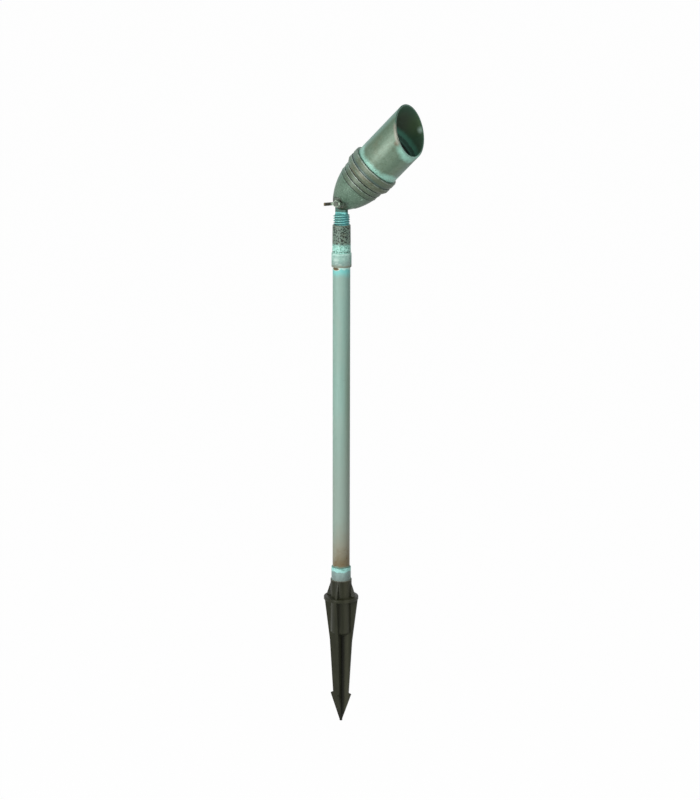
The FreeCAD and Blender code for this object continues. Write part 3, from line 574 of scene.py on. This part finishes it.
def spike_finish():
    """Satin black moulded plastic, with a fine grain, flow marks, painted light on one side,
    painted shade round the axis and a pale rim.
    """
    f = Finish("spike_plastic", specular=0.18)
    dust = f.noise(38, 4)
    flow = f.noise(300, 3, stretch=(1, 1, 0.08))
    f.colour = f.mix(f.step(dust, 0.35, 0.7), (36, 38, 25), (44, 46, 32))
    f.lay((54, 52, 40), f.step(flow, 0.52, 0.72), 0.4)
    # Painted light on the faces towards the right side
    f.lay((68, 69, 54), f.band(f.across(), 0.004, 0.010, 0.002), 0.55)
    # Painted shade in the corners between the fins, near the axis
    f.lay((20, 21, 14), f.step(f.axle_radius(), 0.0065, 0.0030), 0.8)
    f.lay((132, 132, 118), f.step(f.height(), SPIKE_TOP - 0.0007, SPIKE_TOP - 0.0003), 0.7)
    return f.finish(f.varied(0.34, dust, 0.16), f.noise(1600, 2), 0.00004)


def speckled_finish(name, dark, light, scale, roughness, metallic=0.0, bump_depth=0.00003):
    """A plain material with a little unevenness in its colour and surface."""
    f = Finish(name, metallic=metallic)
    grain = f.noise(scale, 4)
    f.colour = f.mix(f.step(grain, 0.35, 0.65), dark, light)
    return f.finish(f.varied(roughness, grain, 0.12), grain, bump_depth)


def glass_finish(name, colour, roughness, clear=1.0):
    """Smeared glass; clear below 1 leaves a film of dust."""
    f = Finish(name)
    f.shader.inputs["Transmission Weight"].default_value = clear
    f.shader.inputs["IOR"].default_value = GLASS_IOR
    f.colour = linear(colour)
    smears = f.step(f.noise(60, 3), 0.5, 0.8)
    return f.finish(f.varied(roughness, smears, 0.06))


def paint(obj, material):
    obj.data.materials.clear()
    obj.data.materials.append(material)


def line_hood(obj, lining):
    """Gives the faces inside the hood's bore a material of their own."""
    limit = HOOD_INSIDE * MM + BORE_MARGIN
    obj.data.materials.append(lining)
    for face in obj.data.polygons:
        from_pivot = face.center - PIVOT
        off = (from_pivot - HEAD_AXIS * from_pivot.dot(HEAD_AXIS)).length
        face.material_index = 1 if off < limit else 0


# Pieces made over the solids. Rounding joins points this close and faces this nearly flat, and
# rounds the edges that turn by more than the sharp angle.
SAME_POINT = 2e-6
FLAT_ANGLE = math.radians(0.4)
SHARP_ANGLE = math.radians(35)
ROUNDING_STEPS = 2
STEM_COLUMNS = 96
ROWS_PER_TURN = 14
DOME_ROWS = 12
HOLE_SIDES = 48


def mesh_data(name, mesh):
    """What a bmesh holds, as a mesh; the bmesh is freed."""
    made = bpy.data.meshes.new(name)
    mesh.to_mesh(made)
    mesh.free()
    return made


def new_piece(name, mesh, body, replaced):
    """A piece that rides on a body and stands for a solid."""
    obj = bpy.data.objects.new(name, mesh)
    bpy.context.scene.collection.objects.link(obj)
    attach(obj, body)
    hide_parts(replaced)
    return obj


def smooth(mesh, degrees):
    """Smooth shading, with sharp edges where faces meet at more than the given angle."""
    mesh.shade_smooth()
    mesh.set_sharp_from_angle(angle=math.radians(degrees))


def keep_modifiers(obj):
    """Applies a piece's modifiers to its mesh."""
    evaluated = obj.evaluated_get(bpy.context.evaluated_depsgraph_get())
    made = bpy.data.meshes.new_from_object(evaluated)
    obj.modifiers.clear()
    obj.data = made


def softened(node, body, width):
    """A copy of a solid with its sharp edges rounded, standing for it."""
    mesh = bmesh.new()
    mesh.from_mesh(nodes[node].data)
    bmesh.ops.remove_doubles(mesh, verts=mesh.verts, dist=SAME_POINT)
    bmesh.ops.dissolve_limit(mesh, angle_limit=FLAT_ANGLE, verts=mesh.verts, edges=mesh.edges)
    sharp = [edge for edge in mesh.edges
             if len(edge.link_faces) == 2 and edge.calc_face_angle(0) > SHARP_ANGLE]
    bmesh.ops.bevel(mesh, geom=sharp, offset=width, segments=ROUNDING_STEPS, profile=0.5,
                    affect="EDGES", clamp_overlap=True)
    bmesh.ops.triangulate(mesh, faces=[face for face in mesh.faces if len(face.verts) > 4])
    made = mesh_data(node + "_rounded", mesh)
    smooth(made, degrees=40)
    return new_piece(node + "_rounded", made, body, node)


def cast(node, body, grain, passes):
    """A copy of a solid with the soft edges of a rough casting, standing for it."""
    obj = new_piece(node + "_cast", nodes[node].data.copy(), body, node)
    remesh = obj.modifiers.new("remesh", "REMESH")
    remesh.mode = "VOXEL"
    remesh.voxel_size = grain
    relax = obj.modifiers.new("relax", "SMOOTH")
    relax.factor = 0.5
    relax.iterations = passes
    keep_modifiers(obj)
    obj.data.shade_smooth()
    return obj


def lathe(rings, columns):
    """A closed bmesh about the Z axis; a ring is a height and a function from angle to radius."""
    mesh = bmesh.new()
    rows = []
    for height, radius in rings:
        row = []
        for column in range(columns):
            turn = 2 * math.pi * column / columns
            x, y = radius(turn) * math.cos(turn), radius(turn) * math.sin(turn)
            row.append(mesh.verts.new((x, y, height)))
        rows.append(row)
    for low, high in zip(rows, rows[1:]):
        for column in range(columns):
            following = (column + 1) % columns
            mesh.faces.new((low[column], low[following], high[following], high[column]))
    mesh.faces.new(rows[0][::-1])
    mesh.faces.new(rows[-1])
    return mesh


def cut_hole(obj, centre, axis, radius, length):
    """Cuts a round hole through a piece."""
    mesh = bmesh.new()
    bmesh.ops.create_cone(mesh, cap_ends=True, segments=HOLE_SIDES, radius1=radius, radius2=radius,
                          depth=length)
    turn = Vector((0, 0, 1)).rotation_difference(axis).to_matrix().to_4x4()
    mesh.transform(Matrix.Translation(centre) @ turn)
    tool = bpy.data.objects.new("hole_tool", mesh_data("hole_tool", mesh))
    bpy.context.scene.collection.objects.link(tool)
    cut = obj.modifiers.new("hole", "BOOLEAN")
    cut.operation = "DIFFERENCE"
    cut.object = tool
    keep_modifiers(obj)
    bpy.data.objects.remove(tool)


def plain(radius):
    """A ring's radius that is the same all round."""
    return lambda turn: radius


def thread_radius(height):
    """The radius round the thread at one height: flat crests and roots, running out at its top."""
    def radius(turn):
        phase = (height / THREAD_PITCH - turn / (2 * math.pi)) % 1
        ridge = max(0.0, min(1.0, 0.5 + THREAD_FULLNESS * math.cos(2 * math.pi * phase)))
        run_out = min(1.0, max(0.0, (THREAD_TOP - height) / THREAD_RUN_OUT))
        return THREAD_ROOT + (THREAD_CREST - THREAD_ROOT) * ridge * run_out
    return radius


def make_stem():
    """The knuckle stem: cut thread, filleted neck, and a domed eye with flats and a bolt hole."""
    rings = [(STEM_FOOT, plain(THREAD_ROOT)), (SHANK_TOP, plain(THREAD_ROOT))]
    count = round((THREAD_TOP - THREAD_FOOT) / THREAD_PITCH * ROWS_PER_TURN)
    for row in range(count + 1):
        height = THREAD_FOOT + (THREAD_TOP - THREAD_FOOT) * row / count
        rings.append((height, thread_radius(height)))
    rings += [(THREAD_TOP + NECK_FILLET / 10, plain(NECK_RADIUS + NECK_FILLET)),
              (THREAD_TOP + NECK_FILLET, plain(NECK_RADIUS + NECK_FILLET / 5)),
              (THREAD_TOP + 2 * NECK_FILLET, plain(NECK_RADIUS)),
              (FLATS_FOOT, plain(NECK_RADIUS)),
              (FLATS_FOOT + FLATS_STEP, plain(NECK_RADIUS)),
              (PIVOT.z, plain(NECK_RADIUS))]
    for row in range(1, DOME_ROWS):
        turn = math.pi / 2 * row / DOME_ROWS
        rings.append((PIVOT.z + NECK_RADIUS * math.sin(turn), plain(NECK_RADIUS * math.cos(turn))))
    mesh = lathe(rings, STEM_COLUMNS)
    for vertex in mesh.verts:
        if vertex.co.z > FLATS_FOOT + FLATS_STEP / 2:
            vertex.co.y = max(-EYE_FLAT, min(EYE_FLAT, vertex.co.y))
    made = mesh_data("threaded_stem", mesh)
    obj = new_piece("threaded_stem", made, "knuckle", "knuckle_stem")
    cut_hole(obj, PIVOT, HEAD_SIDE, BOLT_HOLE, length=30 * MM)
    smooth(obj.data, degrees=45)
    return obj


# Studio: a white floor under a white sky, soft light from the left
WHITE = (1, 1, 1, 1)
FLOOR_GREY = (0.8, 0.8, 0.8, 1)
FLOOR_REACH = 40.0
FLOOR_GAP = 0.2 * MM
# How much of the floor's look is plain white; the rest of it takes the shadow
FLOOR_WHITE = 0.985
SKY_LIGHT = 0.24
LIGHT_TARGET = Vector((0, 0, 0.3))
# Each lamp's metres to the right of the target, towards the camera and up, its size and its power
LAMPS = {"key": (-1.35, 1.75, 0.3, 1.1, 39), "fill": (1.4, 1.2, 1.4, 1.4, 10)}

# Camera: the photograph's viewpoint, from in front, to the right of the tilt axis and above
IMAGE_HEIGHT = 800
CAMERA_AZIMUTH = math.radians(20)
CAMERA_DISTANCE = 2.525
CAMERA_HEIGHT = 0.8467
CAMERA_ROLL = math.radians(0.132)
AIM_HEIGHT = 0.2647
AIM_RIGHT = 11.0 * MM
FOCAL_PIXELS = 2036
SENSOR = 36.0


def seen_directly(tree, share):
    """The share for what the camera, a reflection or glass sees, and 0 for light on the object."""
    ray = tree.nodes.new("ShaderNodeLightPath")
    seen = ray.outputs["Is Camera Ray"]
    for name in ("Is Glossy Ray", "Is Transmission Ray"):
        either = tree.nodes.new("ShaderNodeMath")
        either.operation = "MAXIMUM"
        tree.links.new(seen, either.inputs[0])
        tree.links.new(ray.outputs[name], either.inputs[1])
        seen = either.outputs[0]
    part = tree.nodes.new("ShaderNodeMath")
    part.operation = "MULTIPLY"
    part.inputs[1].default_value = share
    tree.links.new(seen, part.inputs[0])
    return part.outputs[0]


def pale_ground():
    """White to the camera and in reflections, and still shaded by the object."""
    material = bpy.data.materials.new("pale_ground")
    material.use_nodes = True
    tree = material.node_tree
    tree.nodes.clear()
    output = tree.nodes.new("ShaderNodeOutputMaterial")
    ground = tree.nodes.new("ShaderNodeBsdfDiffuse")
    ground.inputs["Color"].default_value = FLOOR_GREY
    white = tree.nodes.new("ShaderNodeEmission")
    white.inputs["Color"].default_value = WHITE
    white.inputs["Strength"].default_value = 1.0
    mix = tree.nodes.new("ShaderNodeMixShader")
    tree.links.new(seen_directly(tree, FLOOR_WHITE), mix.inputs["Fac"])
    tree.links.new(ground.outputs[0], mix.inputs[1])
    tree.links.new(white.outputs[0], mix.inputs[2])
    tree.links.new(mix.outputs[0], output.inputs["Surface"])
    return material


def make_floor():
    mesh = bpy.data.meshes.new("floor")
    reach, level = FLOOR_REACH, cad_low.z - FLOOR_GAP
    corners = [(-reach, -reach, level), (reach, -reach, level),
               (reach, reach, level), (-reach, reach, level)]
    mesh.from_pydata(corners, [], [(0, 1, 2, 3)])
    floor = bpy.data.objects.new("floor", mesh)
    bpy.context.scene.collection.objects.link(floor)
    floor.data.materials.append(pale_ground())


def make_world():
    """A white sky to look at, which lights the object more faintly."""
    world = bpy.data.worlds.new("studio")
    world.use_nodes = True
    tree = world.node_tree
    sky = tree.nodes["Background"]
    sky.inputs["Color"].default_value = WHITE
    level = tree.nodes.new("ShaderNodeMath")
    level.operation = "MAXIMUM"
    level.inputs[1].default_value = SKY_LIGHT
    tree.links.new(seen_directly(tree, 1.0), level.inputs[0])
    tree.links.new(level.outputs[0], sky.inputs["Strength"])
    bpy.context.scene.world = world


def make_camera():
    """Sets the camera up, and gives the level directions to its right and towards it."""
    towards = Vector((math.sin(CAMERA_AZIMUTH), -math.cos(CAMERA_AZIMUTH), 0))
    right = Vector((math.cos(CAMERA_AZIMUTH), math.sin(CAMERA_AZIMUTH), 0))
    data = bpy.data.cameras.new("camera")
    data.sensor_width = SENSOR
    data.lens = SENSOR * FOCAL_PIXELS / IMAGE_HEIGHT
    camera = bpy.data.objects.new("camera", data)
    camera.location = towards * CAMERA_DISTANCE + Vector((0, 0, CAMERA_HEIGHT))
    aim = right * AIM_RIGHT + Vector((0, 0, AIM_HEIGHT))
    roll = Quaternion((0, 0, 1), CAMERA_ROLL)
    camera.rotation_mode = "QUATERNION"
    camera.rotation_quaternion = (aim - camera.location).to_track_quat("-Z", "Y") @ roll
    bpy.context.scene.collection.objects.link(camera)
    bpy.context.scene.camera = camera
    return right, towards


def area_light(name, place, size, power):
    """A round soft lamp that faces the target."""
    light = bpy.data.lights.new(name, "AREA")
    light.shape = "DISK"
    light.size = size
    light.energy = power
    obj = bpy.data.objects.new(name, light)
    obj.location = place
    obj.rotation_mode = "QUATERNION"
    obj.rotation_quaternion = (LIGHT_TARGET - place).to_track_quat("-Z", "Y")
    bpy.context.scene.collection.objects.link(obj)


# The pieces that stand for solids
paint(make_stem(), stem_finish())
paint(softened("ground_spike", "stand", width=0.5 * MM), spike_finish())
hood = softened("hood", "hood", width=0.35 * MM)
paint(hood, hood_finish())
line_hood(hood, lining_finish())
paint(cast("wing_nut", "wing_nut", grain=0.3 * MM, passes=5), wing_nut_finish())

# The solids that show as they are, by finish
painted = (
    (riser_finish(), ["riser_tube"]),
    (upper_collar_finish(), ["upper_collar"]),
    (lower_collar_finish(), ["lower_adapter"]),
    (coupling_finish(), ["riser_coupling"]),
    (housing_finish(), ["rear_housing"]),
    (speckled_finish("dull_stainless", (120, 122, 116), (150, 150, 142),
                     scale=500, roughness=0.35, metallic=0.8),
     ["lens_retainer", "socket_screws"]),
    # The washers share the bolt's dark patina, as painted shade in the bolt's seat
    (speckled_finish("bolt_patina_washer_shade", (44, 56, 42), (78, 92, 74),
                     scale=420, roughness=0.45, metallic=0.1, bump_depth=0.0001),
     ["pivot_bolt", "nut_washer", "lock_washer"]),
    (speckled_finish("nylon", (198, 192, 176), (210, 204, 190), scale=300, roughness=0.5),
     ["friction_washers"]),
    (speckled_finish("seal_rubber", (24, 24, 24), (34, 34, 33), scale=700, roughness=0.6),
     ["hood_seal", "lens_gasket"]),
    (speckled_finish("ceramic", (212, 208, 198), (224, 221, 212), scale=420, roughness=0.55),
     ["lamp_socket", "lamp_base"]),
    (speckled_finish("contact_brass", (168, 140, 80), (190, 162, 98),
                     scale=600, roughness=0.3, metallic=0.9),
     ["socket_contacts"]),
    (speckled_finish("pin_metal", (176, 176, 174), (200, 200, 198),
                     scale=600, roughness=0.25, metallic=1.0),
     ["lamp_pins"]),
    (speckled_finish("reflector_mirror", (188, 188, 192), (214, 214, 218),
                     scale=260, roughness=0.12, metallic=1.0),
     ["lamp_reflector"]),
    (glass_finish("lens_glass", (200, 222, 212), roughness=0.03, clear=0.86), ["lens"]),
    (glass_finish("lamp_glass", (238, 240, 238), roughness=0.02),
     ["lamp_capsule", "lamp_cover_glass"]),
)
for material, names in painted:
    for name in names:
        paint(nodes[name], material)

make_floor()
make_world()
camera_right, camera_towards = make_camera()
for name, (right, towards, up, size, power) in LAMPS.items():
    place = LIGHT_TARGET + camera_right * right + camera_towards * towards + Vector((0, 0, up))
    area_light(name, place, size, power)

bpy.context.scene.view_settings.view_transform = "Standard"
